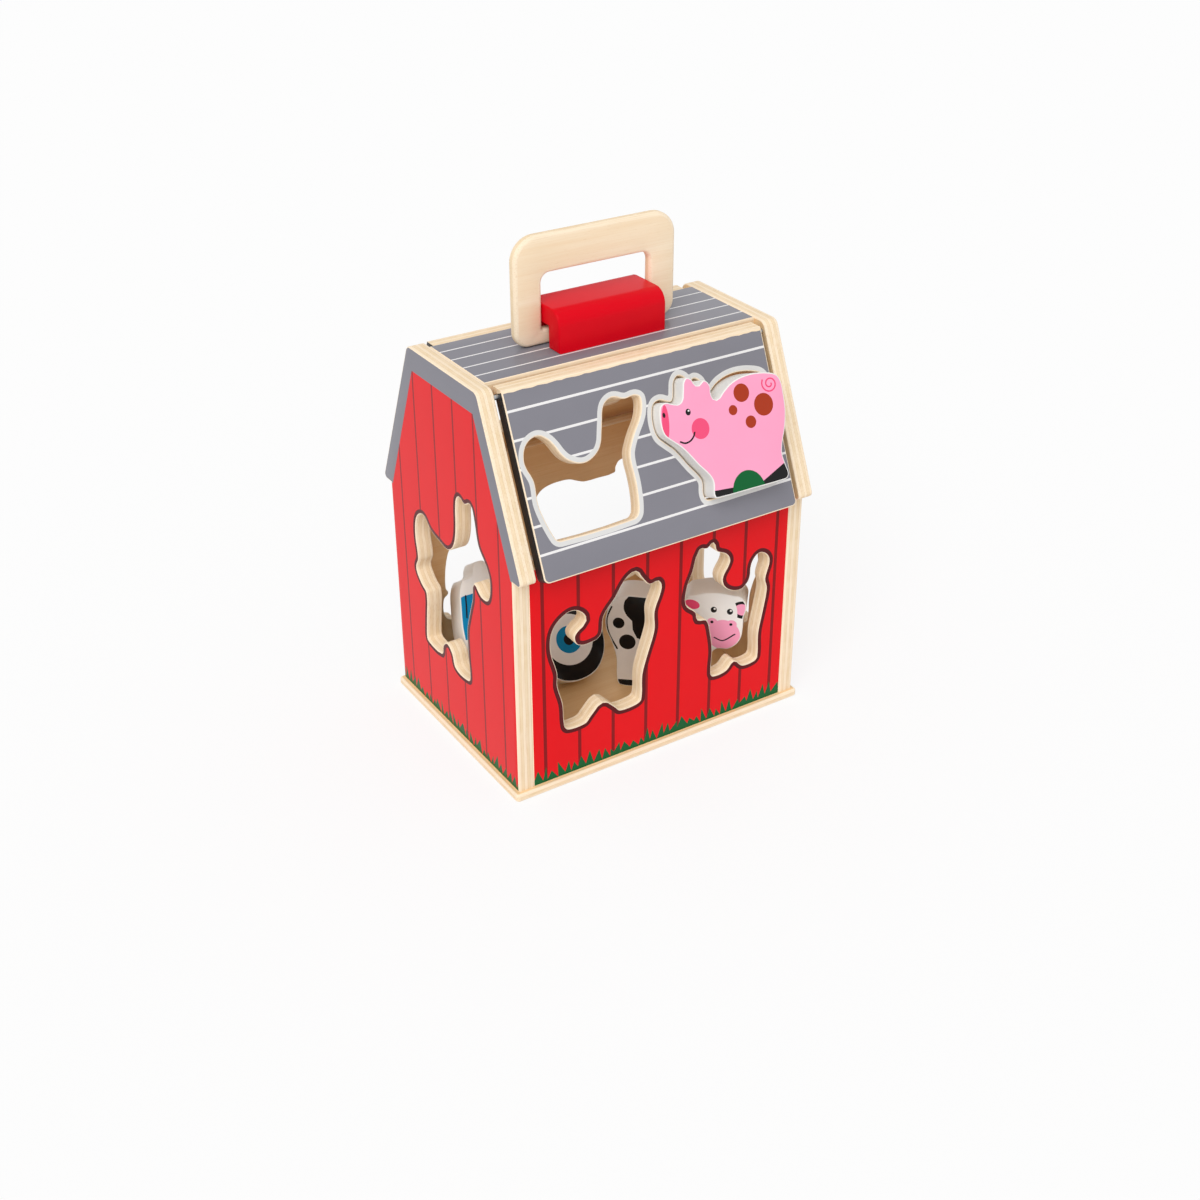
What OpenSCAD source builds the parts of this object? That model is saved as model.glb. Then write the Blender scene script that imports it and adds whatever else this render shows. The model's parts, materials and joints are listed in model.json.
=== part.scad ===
// Toy barn of plywood panels. Each wall and each roof flap has openings that match animal blocks.
// X runs along the ridge, the front faces -Y, Z is up, and the origin is the middle of the underside.

/* [Walls] */
// Width over the outer faces of the two end walls
barn_w = 180; // [156:1:200]
// Depth over the front and back walls
barn_d = 130.8; // [128:0.2:150]
// Thickness of the end walls
end_t = 9; // [8:0.5:12]
// Thickness of the front and back walls
side_t = 9; // [8:0.5:11]
// Height of the flat top above the table
roof_z = 219.8; // [212:0.2:240]
// Height of the eave tips of the end walls
eave_z = 130.5; // [126:0.5:134]
// How far each eave tip stands out past the wall below it
eave_out = 9; // [6:0.5:10]
// Half of the depth of the flat top
knee_y = 36; // [34:0.5:38]
// Radius of the end walls' upper corners
knee_r = 5; // [2:0.5:6]
// Radius of the eave tips
eave_r = 2.5; // [1:0.5:4]

/* [Base] */
// Thickness of the base board
base_t = 4.5; // [4:0.5:9]
// How far the base board stands out past the walls
base_margin = 2.5; // [1:0.5:6]
// Radius of the base board's corners seen from above
base_r = 2; // [0.5:0.5:5]

/* [Top panel] */
// Depth of the fixed panel between the roof flaps
top_d = 56; // [50:1:57]
// Thickness of the fixed panel
top_t = 9; // [8:0.5:12]

/* [Roof flaps] */
// Thickness of a roof flap
flap_t = 8; // [7:0.5:9]
// Gap between a flap's end and the end wall
flap_gap = 3.5; // [1:0.5:6]
// How far a flap's outer face stands proud of the end walls' sloping edges
flap_proud = 1.5; // [0.5:0.5:2.5]
// Distance from the knee to a flap's lower edge, down the slope
flap_len = 97.7; // [95:0.1:100]
// Drop from the flat top to a flap's level upper edge
flap_drop = 1.4; // [1:0.1:3]
// Radius of a flap's lower corners
flap_r = 3; // [1:0.5:6]
// Chamfer on a flap's inner upper edge, which lets it turn past the fixed panel
flap_chamfer = 0.6; // [0.4:0.1:1.5]

/* [Hinge pins] */
// Radius of a hinge pin
pin_r = 1.25; // [1:0.05:1.4]
// Length of a pin inside the flap
pin_in_flap = 10; // [6:0.5:14]
// Length of a pin inside the end wall
pin_in_wall = 5; // [3:0.5:6]
// Distance of the hinge line below the knee, down the slope
hinge_s = 4.5; // [4:0.1:5]
// Distance of the hinge line in from the end walls' sloping edges
hinge_in = 3; // [2.8:0.1:3.4]
// Running clearance between a pin and its hole in the end wall
pin_clear = 0.06; // [0.02:0.01:0.1]

/* [Handle] */
// Width of the handle
handle_w = 96; // [90:1:120]
// Height of the handle
handle_h = 57; // [50:1:70]
// Thickness of the handle
handle_t = 6; // [5:0.5:7]
// Height of the bar that lies in the saddle block
bar_h = 8; // [7:0.5:9]
// Height of the grip at the top
grip_h = 20; // [14:1:24]
// Radius of the handle's upper corners
handle_r = 13; // [6:1:16]
// Radius of the handle's lower corners
handle_foot_r = 8; // [2:1:8]
// Radius of the finger opening's upper corners
finger_r = 5; // [2:0.5:8]
// Distance of the handle's middle plane behind the ridge line
handle_y = 1.2; // [0:0.1:1.3]
// Gap under the handle's bar
bar_gap = 0.4; // [0.3:0.1:1]

/* [Saddle block] */
// Width of the red block over the handle's bar
saddle_w = 64; // [50:1:70]
// Depth of the block
saddle_d = 34; // [30:1:40]
// Height of the block
saddle_h = 21.7; // [19:0.1:30]
// Radius of the block's long upper edges
saddle_r = 8; // [4:0.5:9]
// Width of the channel under the block
channel_w = 13; // [13:0.5:14]
// Height of the channel
channel_h = 11.7; // [11.4:0.1:13]
// Gap between an end of the block and the handle's posts
saddle_gap = 0.4; // [0.3:0.1:1]

/* [Blocks] */
// Thickness of an animal block
block_t = 18; // [14:0.5:20]
// Gap round a block in its opening
block_clear = 1.2; // [1.2:0.1:2]
// Tilt of the pig block in its opening
pig_tilt = 8.5; // [8:0.5:10]
// Gap between the pig block and the rim it leans on
pig_seat = 0.3; // [0.2:0.1:1]
// Angle of the cow block on the floor of the barn
cow_angle = -41; // [-43:1:-39]
// Gap between a block on the floor and the wall that it touches
block_gap = 0.3; // [0.2:0.1:1]

/* [Fasteners] */
// Radius of a wood screw's shank
screw_r = 1.5; // [1:0.1:1.9]
// Radius of a wood screw's head
screw_head_r = 3; // [2.5:0.1:3.4]
// Length of a wood screw
screw_len = 19; // [14:1:20]
// Depth of a screw head below the surface
screw_sink = 0.4; // [0.2:0.1:0.8]
// Width of a slot of the cross recess in a screw's head
recess_w = 0.8; // [0.5:0.1:1]
// Length of such a slot
recess_len = 2.6; // [2:0.1:2.8]
// Depth of the recess
recess_depth = 0.9; // [0.5:0.1:0.9]
// Radius of a dowel in a corner joint
dowel_r = 2.5; // [1.5:0.1:3]
// Radius of a dowel at the ends of the fixed panel
top_dowel_r = 2; // [1.5:0.1:3]
// Length of a dowel inside an end wall
dowel_in_end = 5; // [3:0.5:6]
// Length of a dowel inside a side wall or the fixed panel
dowel_in_side = 9; // [6:0.5:9.5]
// Clearance all round a glued or driven fastener
glue_gap = 0.02; // [0.01:0.01:0.05]

/* [Hidden] */
$fn = 48;

red = "#e0222a";
grey = "#8b8a91";
wood = "#efd8b2";
steel = "#b9bcc0";
white = "#f2efe9";

// Sides of an arc in an outline, and points between two chosen points of a curve
ARC_STEPS = 6;
CURVE_STEPS = 3;
// Overshoot of a cutting tool past the face that it leaves
CUT = 1;
// How far a flap's blank reaches above the knee before its upper edge is cut
FLAP_BLANK = 24;

slope = atan2(roof_z - eave_z, barn_d / 2 + eave_out - knee_y);
wall_y = barn_d / 2;
inner_x = barn_w / 2 - end_t;
flap_x = inner_x - flap_gap;
flap_top_z = roof_z - flap_drop;
hinge_y = knee_y + hinge_s * cos(slope) - hinge_in * sin(slope);
hinge_z = roof_z - hinge_s * sin(slope) - hinge_in * cos(slope);

// Gap between a closed flap and the wall top that it lies on
flap_seat = 0.3;
flap_inner = flap_t - flap_proud;
// Where a flap's inner face meets its level upper edge, down the slope and then in depth
flap_arris_s = (flap_drop - flap_inner * cos(slope)) / sin(slope);
flap_arris_y = knee_y + flap_arris_s * cos(slope) - flap_inner * sin(slope);
side_top_z = roof_z - (wall_y - knee_y) * tan(slope) - (flap_inner + flap_seat) / cos(slope);

dowel_y = wall_y - side_t / 2;
dowel_heights = [24, 118];
top_dowel_y = 15;
end_screw_y = 40;
side_screw_x = 45;
saddle_screw_x = 20;
saddle_screw_y = (saddle_d + channel_w) / 4;

// Width of the barn for which the outlines below are drawn. They grow and shrink with the barn.
drawn_w = 180;
animal_scale = barn_w / drawn_w;

// Openings, in millimetres across and up as seen from outside. On a flap, up is measured
// down the slope from the knee.
HORSE = [
  [9.8, 150], [13.2, 154.8], [19, 153], [25, 155.5], [28, 150], [31.7, 135.4], [39.4, 127], [42.3, 120],
  [39.8, 108.5], [32.5, 107], [25.4, 111], [23, 101], [18.6, 88.5], [15.5, 78], [15.5, 62], [16.3, 50],
  [14.5, 46.3], [0.5, 46.3], [-2.6, 53.4], [-8.3, 57.3], [-13.4, 53.5], [-15.6, 47.3], [-31, 47.3],
  [-32.2, 50], [-31, 61], [-29.7, 78], [-35.5, 82], [-40.5, 88.5], [-37.4, 96], [-39.1, 110],
  [-36.4, 121.5], [-28.3, 126.2], [-20.6, 120.8], [-11.4, 118.5], [-2, 117.5], [5, 123], [8.4, 133.5]
];
DOG = [
  [-59, 103.3], [-52, 102], [-48.2, 95.3], [-54.9, 88.6], [-52.7, 82.2], [-43, 81.5], [-38.7, 84.5],
  [-37.2, 94.5], [-30.2, 103.3], [-24, 112], [-18, 114.6], [-13.9, 109.5], [-9.1, 104.2], [-3.6, 104.4],
  [-2, 99.4], [-6.2, 87], [-6.1, 75.6], [-10.8, 60.3], [-13.5, 50], [-14, 35], [-17, 33], [-27, 33],
  [-30, 36], [-38, 42], [-46, 36], [-49, 33], [-59, 33], [-61.5, 36], [-62.5, 50], [-65.5, 62],
  [-65.5, 70], [-69.1, 84.4], [-67.4, 96.5]
];
GOAT = [
  [22.3, 115], [27.3, 114.3], [31, 116.5], [33.4, 111], [40, 107], [42.2, 102], [37.8, 93], [40.7, 86],
  [50, 82.2], [56, 86.7], [57.5, 96.5], [62.7, 101.2], [69, 95.5], [66.7, 84], [68.2, 77], [66.2, 64],
  [63.7, 50], [63.9, 35], [62, 32.8], [54, 32.8], [48, 37.6], [42.5, 33.2], [34, 32.7], [32.3, 36],
  [32.8, 50], [31, 62], [28.3, 70.3], [22.5, 72.5], [20.9, 77.7], [14.5, 84.5], [15, 95], [18.3, 103.3]
];
GOOSE = [
  [-64.2, 27.2], [-71.1, 30.3], [-73.8, 38.3], [-71, 48], [-71.5, 60], [-66.9, 77], [-64, 79.2],
  [-21.5, 79.2], [-18, 76.5], [-16.1, 62.8], [-16, 48], [-11.4, 38.9], [-5, 30], [-3.1, 22], [-6, 20],
  [-12, 20.4], [-18.9, 18.2], [-24.4, 21.1], [-27.6, 30], [-32, 41], [-41.7, 45.8], [-51.5, 41.5], [-58.1, 31.1]
];
PIG = [
  [15, 27.6], [16.9, 23], [18.4, 18.4], [21.4, 16.1], [24.8, 17.8], [26.6, 21.2], [28, 20.6], [30.4, 19.4],
  [33.2, 21], [34.6, 24.6], [34.2, 28], [35.2, 30.4], [38.7, 27.9], [43.6, 24.6], [49.3, 22.6], [54.7, 21.9],
  [60, 22.1], [66.6, 23.4], [71.8, 25.8], [74, 30.4], [74.1, 37], [73.4, 45.7], [71, 54.4], [67.8, 62],
  [66.6, 67], [67.2, 72], [68, 77.6], [66, 80.7], [62, 81.3], [45, 81.4], [26.4, 81.4], [22.9, 80.6],
  [21.9, 77.4], [22.9, 71.6], [21.3, 67.6], [17.2, 62], [13.6, 56.3], [10, 51.2], [6, 47.3], [2.4, 43.2],
  [1.3, 37.5], [1.9, 31.4], [3.9, 26.9], [7.8, 25.6], [11.8, 27.2]
];
COW = [
  [-35.4, 92.3], [-29.8, 96.2], [-18, 96.5], [-5.9, 95.8], [2.7, 95.4], [6.4, 99], [11.7, 100.4], [15.8, 101.6],
  [24, 102.2], [31.7, 101.2], [35.6, 100.6], [39.6, 96], [40, 90.9], [38.8, 86.3], [38.6, 79.9], [37.8, 73.2],
  [34.9, 67.7], [29.4, 64], [23.6, 63.6], [21.2, 59.8], [20.7, 47.9], [20.2, 37.8], [17.2, 34.8], [5.7, 34.8],
  [3.3, 38.7], [2, 46.4], [-3.4, 50.9], [-10.6, 50.9], [-16, 46.4], [-17.9, 38.6], [-20.2, 34.8], [-31.8, 34.8],
  [-34.2, 38.9], [-34.7, 53.8], [-37.6, 64.6], [-40.4, 71.7], [-41, 79.1], [-39.1, 86.5]
];
TRACTOR = [
  [-59.7, 28.4], [-67.1, 31.1], [-73.5, 36.9], [-76.3, 44.4], [-76.7, 53.6], [-76.3, 65.7], [-75.7, 75.7], [-73.7, 86.8],
  [-71.6, 95.5], [-67.8, 101.6], [-62.2, 102.8], [-60.7, 106.2], [-58, 109.7], [-52.5, 109.7], [-49.8, 106.1], [-49.1, 102.7],
  [-37.5, 102.2], [-28, 102.4], [-23, 104.2], [-18, 106.4], [-12, 107], [-5, 106.6], [0.6, 104.8], [4.2, 101],
  [4.6, 95.6], [4.3, 87.6], [6.2, 76.8], [7.9, 65.7], [8.1, 53.5], [6.1, 42.1], [-0.7, 32.7],
  [-9.2, 28.8], [-19.7, 28.4], [-27.1, 31.6], [-32.9, 36.5], [-39.1, 36.5], [-44.8, 31.6], [-51.2, 28.6]
];
FARMER = [
  [0, 113], [7, 111.5], [9, 104], [16, 100], [17.5, 96], [12, 91.5], [12.5, 87.5], [16, 83],
  [18, 76], [19, 68], [19, 60], [17.6, 56.5], [20.5, 53.5], [21, 44.5], [18.5, 40], [14, 38],
  [13, 33], [13, 28.5], [10.5, 26], [-12, 26], [-14.5, 29], [-13.5, 38], [-13.5, 52], [-15.5, 60],
  [-18.5, 66], [-18, 76], [-15.5, 83], [-11.5, 87.5], [-11, 91.5], [-16.5, 96], [-15.5, 100], [-8, 104],
  [-6.5, 111.5]
];
HEN = [
  [-32, 34], [-36, 28], [-33, 20], [-25, 18], [-19, 24], [-16, 33], [-4, 36], [8, 32], [14, 24],
  [20, 20], [27, 23], [31, 30], [36, 36], [31, 42], [32, 52], [25, 66], [16, 73], [15, 80], [-12, 80],
  [-24, 70], [-31, 56], [-33, 44]
];

// A sheep is a fleecy ellipse, a face that overlaps it and a pair of legs
SHEEP_FACE = [[-52, 24], [-60, 22], [-69, 25], [-74, 29], [-70, 32], [-69, 42], [-63, 49], [-55, 47], [-50, 36]];
SHEEP_LEGS = [[-52, 60], [-55, 77], [-51, 79], [-30, 79], [-26, 77], [-28, 60], [-40, 56]];
SHEEP_BUMPS = 13;
sheep_middle = [-37, 45];
sheep_radii = [27, 20];
sheep_bump = 3;
hen_x = 38;
farmer_x = 46;

// The two blocks on the floor inside: where their left foot stands along X, and how the tractor leans back
cow_x = 3;
tractor_x = -75.5;
tractor_angle = -5;
tractor_lean = 33;

// Direction of a curve at point i: along the line through its two neighbours
function bearing(p, i) =
  let (d = p[(i + 1) % len(p)] - p[(i + len(p) - 1) % len(p)])
  d / norm(d);

// Closed smooth curve through the chosen points, a cubic between each two
function smooth(p) = [
  for (i = [0 : len(p) - 1])
    let (
      a = p[i] * animal_scale,
      b = p[(i + 1) % len(p)] * animal_scale,
      d = norm(b - a),
      u = bearing(p, i) * d,
      v = bearing(p, (i + 1) % len(p)) * d
    )
    for (k = [0 : CURVE_STEPS - 1])
      let (t = k / CURVE_STEPS, s = 1 - t)
      a * s * s * (1 + 2 * t) + b * t * t * (1 + 2 * s) + u * t * s * s - v * t * t * s
];

// Twice the signed area of a closed outline: positive when it runs anticlockwise
function area2(p) = [
  for (i = [0 : len(p) - 1])
    let (a = p[i], b = p[(i + 1) % len(p)])
    a.x * b.y - a.y * b.x
] * [for (i = p) 1];

// The same outline drawn in by a distance, each point moved square to the curve there
function inset(p, distance) =
  let (side = sign(area2(p)) * distance)
  [
    for (i = [0 : len(p) - 1])
      let (d = bearing(p, i))
      p[i] + [-d.y, d.x] * side
  ];

// The same outline farther across its panel
function across(p, x) = [for (q = p) [q.x + x * animal_scale, q.y]];
function turned_over(p) = [for (q = p) [-q.x, q.y]];
function upside_down(p) = [for (q = p) [q.x, -q.y]];
function lowest(p) = min([for (q = p) q.y]);
function left_end(p) = min([for (q = p) q.x]);

// How far along Y each corner of a block on the floor lies from its left foot, once leant back and turned
function floor_reach(p, turn, lean) = [
  for (q = p, depth = [0, block_t])
    (q.x - left_end(p)) * sin(turn) + (depth * cos(lean) + (q.y - lowest(p)) * sin(lean)) * cos(turn)
];

// A corner rounded by an arc: p is the corner, a and b the points before and after it
function rounded(a, p, b, r) =
  let (
    u = (a - p) / norm(a - p),
    v = (b - p) / norm(b - p),
    half = acos(u * v) / 2,
    m = (u + v) / norm(u + v),
    c = p + m * r / sin(half),
    from = atan2(p.y + u.y * r / tan(half) - c.y, p.x + u.x * r / tan(half) - c.x),
    to = atan2(p.y + v.y * r / tan(half) - c.y, p.x + v.x * r / tan(half) - c.x),
    sweep = (to - from + 540) % 360 - 180
  )
  [for (k = [0 : ARC_STEPS]) c + r * [cos(from + sweep * k / ARC_STEPS), sin(from + sweep * k / ARC_STEPS)]];

// Outline with a radius at each corner: [x, y, radius], radius 0 for a sharp one
function outline(p) = [
  for (i = [0 : len(p) - 1])
    let (
      a = p[(i + len(p) - 1) % len(p)],
      b = p[(i + 1) % len(p)],
      q = p[i]
    )
    each q[2] > 0 ? rounded([a.x, a.y], [q.x, q.y], [b.x, b.y], q[2]) : [[q.x, q.y]]
];

// Fleecy outline: bumps that ride on an ellipse
function fleece(c, r) = [
  for (k = [0 : SHEEP_BUMPS * 6 - 1])
    let (a = 360 * k / (SHEEP_BUMPS * 6), bump = sheep_bump * abs(sin(a * SHEEP_BUMPS / 2)))
    [c.x + (r.x + bump) * cos(a), c.y + (r.y + bump) * sin(a)] * animal_scale
];

module plate(points, thickness) {
  linear_extrude(thickness) polygon(points);
}

// A panel with its openings cut right through
module cut_plate(points, thickness, openings) {
  difference() {
    plate(points, thickness);
    for (o = openings) translate([0, 0, -CUT]) plate(o, thickness + 2 * CUT);
  }
}

// Room taken by a countersunk wood screw with its head down at the origin
module screw_body(gap) {
  cylinder(h = screw_len + gap, r = screw_r + gap);
  cylinder(h = screw_head_r - screw_r, r1 = screw_head_r + gap, r2 = screw_r + gap);
}

// The screw itself, with a cross recess in its head
module screw() {
  difference() {
    screw_body(0);
    for (a = [0, 90])
      rotate([0, 0, a])
        cube([recess_len, recess_w, 2 * recess_depth], center = true);
  }
}

// Hole for that screw, open below its head
module screw_hole() {
  screw_body(glue_gap);
  translate([0, 0, -CUT - screw_sink]) cylinder(h = CUT + screw_sink + glue_gap, r = screw_head_r + glue_gap);
}

module end_wall_screw_places() {
  for (x = [-1, 1], y = [-1, 1])
    translate([x * (inner_x + end_t / 2), y * end_screw_y, screw_sink]) children();
}

module side_wall_screw_places() {
  for (x = [-1, 1], y = [-1, 1])
    translate([x * side_screw_x, y * dowel_y, screw_sink]) children();
}

module saddle_screw_places() {
  for (x = [-1, 1], y = [-1, 1])
    translate([x * saddle_screw_x, y * saddle_screw_y, roof_z - top_t + screw_sink]) children();
}

// Rod along X that starts in a part at depth a inside the end wall's inner face and ends b beyond it
module cross_rod(side, a, b, r) {
  translate([side * (inner_x - b), 0, 0]) rotate([0, side * 90, 0]) cylinder(h = a + b, r = r);
}

module side_wall_dowel_places(y_side) {
  for (z = dowel_heights) translate([0, y_side * dowel_y, z]) children();
}

module top_dowel_places() {
  for (y = [-1, 1]) translate([0, y * top_dowel_y, roof_z - top_t / 2]) children();
}

// Everything that is bored into the inner face of an end wall
module end_wall_holes(side) {
  for (y = [-1, 1]) {
    side_wall_dowel_places(y) cross_rod(side, dowel_in_end + glue_gap, CUT, dowel_r + glue_gap);
    translate([0, y * hinge_y, hinge_z]) cross_rod(side, pin_in_wall + 0.5, CUT, pin_r + pin_clear);
  }
  top_dowel_places() cross_rod(side, dowel_in_end + glue_gap, CUT, top_dowel_r + glue_gap);
  end_wall_screw_places() screw_hole();
}

module end_wall(side, openings) {
  eave_y = wall_y + eave_out;
  profile = outline([
    [-wall_y, base_t, 0], [wall_y, base_t, 0], [wall_y, eave_z, 0], [eave_y, eave_z, eave_r],
    [knee_y, roof_z, knee_r], [-knee_y, roof_z, knee_r], [-eave_y, eave_z, eave_r], [-wall_y, eave_z, 0]
  ]);
  difference() {
    translate([side > 0 ? inner_x : -barn_w / 2, 0, 0])
      rotate([90, 0, 90])
        cut_plate(profile, end_t, openings);
    end_wall_holes(side);
  }
}

module side_wall(y_side, openings) {
  profile = [[-inner_x, base_t], [inner_x, base_t], [inner_x, side_top_z], [-inner_x, side_top_z]];
  difference() {
    rotate([0, 0, y_side < 0 ? 0 : 180])
      translate([0, side_t - wall_y, 0])
        rotate([90, 0, 0])
          cut_plate(profile, side_t, openings);
    side_wall_dowel_places(y_side)
      for (x = [-1, 1]) cross_rod(x, CUT, dowel_in_side + glue_gap, dowel_r + glue_gap);
    side_wall_screw_places() screw_hole();
  }
}

// A roof flap closed on the front slope, with its openings given down the slope
module roof_flap(openings) {
  profile = outline([
    [-flap_x, FLAP_BLANK, 0], [-flap_x, -flap_len, flap_r],
    [flap_x, -flap_len, flap_r], [flap_x, FLAP_BLANK, 0]
  ]);
  cuts = [for (o = openings) upside_down(o)];
  difference() {
    translate([0, -knee_y, roof_z])
      rotate([slope, 0, 0])
        translate([0, 0, -flap_inner])
          cut_plate(profile, flap_t, cuts);
    // The upper edge is cut level
    translate([-barn_w / 2, -barn_d, flap_top_z]) cube([barn_w, 2 * barn_d, 2 * FLAP_BLANK]);
    // Its inner arris is chamfered
    translate([0, -flap_arris_y, flap_top_z])
      rotate([45, 0, 0])
        cube([barn_w, flap_chamfer * sqrt(2), flap_chamfer * sqrt(2)], center = true);
    for (x = [-1, 1])
      translate([0, -hinge_y, hinge_z])
        cross_rod(x, CUT, flap_gap + pin_in_flap + glue_gap, pin_r + glue_gap);
  }
}

module base_board() {
  x = barn_w / 2 + base_margin;
  y = wall_y + base_margin;
  color(wood)
    difference() {
      plate(outline([[-x, -y, base_r], [x, -y, base_r], [x, y, base_r], [-x, y, base_r]]), base_t);
      end_wall_screw_places() screw_hole();
      side_wall_screw_places() screw_hole();
    }
}

module left_end_wall() {
  color(red) end_wall(-1, [turned_over(smooth(HORSE))]);
}

module right_end_wall() {
  color(red) end_wall(1, [smooth(COW)]);
}

module front_wall() {
  color(red) side_wall(-1, [smooth(DOG), smooth(GOAT)]);
}

module back_wall() {
  color(red) side_wall(1, [smooth(TRACTOR), across(smooth(FARMER), farmer_x)]);
}

module top_panel() {
  color(grey)
    difference() {
      translate([-inner_x, -top_d / 2, roof_z - top_t]) cube([2 * inner_x, top_d, top_t]);
      top_dowel_places()
        for (x = [-1, 1]) cross_rod(x, CUT, dowel_in_side + glue_gap, top_dowel_r + glue_gap);
      saddle_screw_places() screw_hole();
    }
}

module front_roof_flap() {
  color(grey) roof_flap([smooth(GOOSE), smooth(PIG)]);
}

module back_roof_flap() {
  color(grey)
    rotate([0, 0, 180])
      roof_flap([
        fleece(sheep_middle, sheep_radii), smooth(SHEEP_FACE), smooth(SHEEP_LEGS),
        across(smooth(HEN), hen_x)
      ]);
}

module hinge_pins() {
  for (x = [-1, 1])
    translate([0, -hinge_y, hinge_z]) cross_rod(x, pin_in_wall, flap_gap + pin_in_flap, pin_r);
}

module front_hinge_pins() {
  color(steel) hinge_pins();
}

module back_hinge_pins() {
  color(steel) rotate([0, 0, 180]) hinge_pins();
}

// The handle stands on its lower bar, whose underside is round about the hinge line, so that it turns
// in the saddle block's channel
module handle() {
  opening_w = saddle_w + 2 * saddle_gap;
  profile = outline([
    [-handle_w / 2, 0, handle_foot_r], [handle_w / 2, 0, handle_foot_r],
    [handle_w / 2, handle_h, handle_r], [-handle_w / 2, handle_h, handle_r]
  ]);
  finger_hole = outline([
    [-opening_w / 2, bar_h, 0], [opening_w / 2, bar_h, 0],
    [opening_w / 2, handle_h - grip_h, finger_r], [-opening_w / 2, handle_h - grip_h, finger_r]
  ]);
  color(wood)
    translate([0, handle_y, roof_z + bar_gap])
      intersection() {
        translate([0, handle_t / 2, 0]) rotate([90, 0, 0]) cut_plate(profile, handle_t, [finger_hole]);
        union() {
          translate([-handle_w, 0, bar_h / 2]) rotate([0, 90, 0]) cylinder(h = 2 * handle_w, r = bar_h / 2);
          translate([-handle_w, -handle_t, bar_h / 2]) cube([2 * handle_w, 2 * handle_t, handle_h]);
        }
      }
}

// Saddle block: a channel below holds the handle's bar, and the long upper edges are round
module saddle_block() {
  color(red)
    difference() {
      translate([-saddle_w / 2, 0, roof_z]) {
        translate([0, -saddle_d / 2, 0]) cube([saddle_w, saddle_d, saddle_h - saddle_r]);
        translate([0, saddle_r - saddle_d / 2, 0]) cube([saddle_w, saddle_d - 2 * saddle_r, saddle_h]);
        for (y = [-1, 1])
          translate([0, y * (saddle_d / 2 - saddle_r), saddle_h - saddle_r])
            rotate([0, 90, 0])
              cylinder(h = saddle_w, r = saddle_r);
      }
      translate([-saddle_w / 2 - CUT, -channel_w / 2, roof_z - CUT])
        cube([saddle_w + 2 * CUT, channel_w, channel_h + CUT]);
      saddle_screw_places() screw_hole();
    }
}

module saddle_screws() {
  color(steel) saddle_screw_places() screw();
}

module end_wall_screws() {
  color(steel) end_wall_screw_places() screw();
}

module side_wall_screws() {
  color(steel) side_wall_screw_places() screw();
}

module front_wall_dowels() {
  color(wood) side_wall_dowel_places(-1) for (x = [-1, 1]) cross_rod(x, dowel_in_end, dowel_in_side, dowel_r);
}

module back_wall_dowels() {
  color(wood) side_wall_dowel_places(1) for (x = [-1, 1]) cross_rod(x, dowel_in_end, dowel_in_side, dowel_r);
}

module top_panel_dowels() {
  color(wood) top_dowel_places() for (x = [-1, 1]) cross_rod(x, dowel_in_end, dowel_in_side, top_dowel_r);
}

// The pig block has dropped partly into its opening: its snout end is in, and its rump leans on the rim
module pig_block() {
  shape = inset(smooth(PIG), block_clear);
  rump = max([for (q = shape) q.x]);
  color(white)
    translate([0, -knee_y, roof_z])
      rotate([slope, 0, 0])
        translate([rump, 0, flap_proud + pig_seat])
          rotate([0, -pig_tilt, 0])
            translate([-rump, 0, 0])
              plate(upside_down(shape), block_t);
}

// A block on the floor of the barn. It is turned, may lean back, and touches the front or the back wall.
module floor_block(opening, x, wall_side, turn, lean) {
  shape = inset(smooth(opening), block_clear);
  reach = wall_side * floor_reach(shape, turn, lean);
  y = wall_side * (wall_y - side_t - block_gap - max(reach));
  translate([x * animal_scale, y, base_t + block_t * sin(lean)])
    rotate([0, 0, turn])
      rotate([-lean, 0, 0])
        translate([-left_end(shape), block_t, -lowest(shape)])
          rotate([90, 0, 0])
            plate(shape, block_t);
}

module cow_block() {
  color(white) floor_block(COW, cow_x, -1, cow_angle, 0);
}

module tractor_block() {
  color(white) floor_block(TRACTOR, tractor_x, 1, tractor_angle, tractor_lean);
}

base_board();
left_end_wall();
right_end_wall();
front_wall();
back_wall();
top_panel();
front_roof_flap();
back_roof_flap();
front_hinge_pins();
back_hinge_pins();
handle();
saddle_block();
saddle_screws();
end_wall_screws();
side_wall_screws();
front_wall_dowels();
back_wall_dowels();
top_panel_dowels();
pig_block();
cow_block();
tractor_block();
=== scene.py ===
import json
import math

import bpy
import numpy as np
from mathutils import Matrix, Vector
from mathutils.geometry import delaunay_2d_cdt


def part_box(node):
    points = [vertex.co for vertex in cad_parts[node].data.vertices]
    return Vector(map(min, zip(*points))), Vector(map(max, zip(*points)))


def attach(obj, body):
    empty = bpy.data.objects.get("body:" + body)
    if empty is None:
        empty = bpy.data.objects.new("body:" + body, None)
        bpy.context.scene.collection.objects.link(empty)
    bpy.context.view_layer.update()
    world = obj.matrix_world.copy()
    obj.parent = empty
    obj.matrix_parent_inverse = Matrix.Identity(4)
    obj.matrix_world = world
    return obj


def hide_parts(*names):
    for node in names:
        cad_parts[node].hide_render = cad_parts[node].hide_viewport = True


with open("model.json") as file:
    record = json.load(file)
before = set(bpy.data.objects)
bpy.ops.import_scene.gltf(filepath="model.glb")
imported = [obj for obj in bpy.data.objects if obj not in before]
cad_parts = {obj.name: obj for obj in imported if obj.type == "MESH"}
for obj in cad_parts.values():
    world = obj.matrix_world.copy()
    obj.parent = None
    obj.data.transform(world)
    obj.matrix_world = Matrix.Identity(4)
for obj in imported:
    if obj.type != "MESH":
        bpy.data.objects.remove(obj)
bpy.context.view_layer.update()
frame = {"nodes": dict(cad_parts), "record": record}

# Toy barn of printed birch plywood. Lengths in the dictionaries are millimetres.
mm = 0.001
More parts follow.
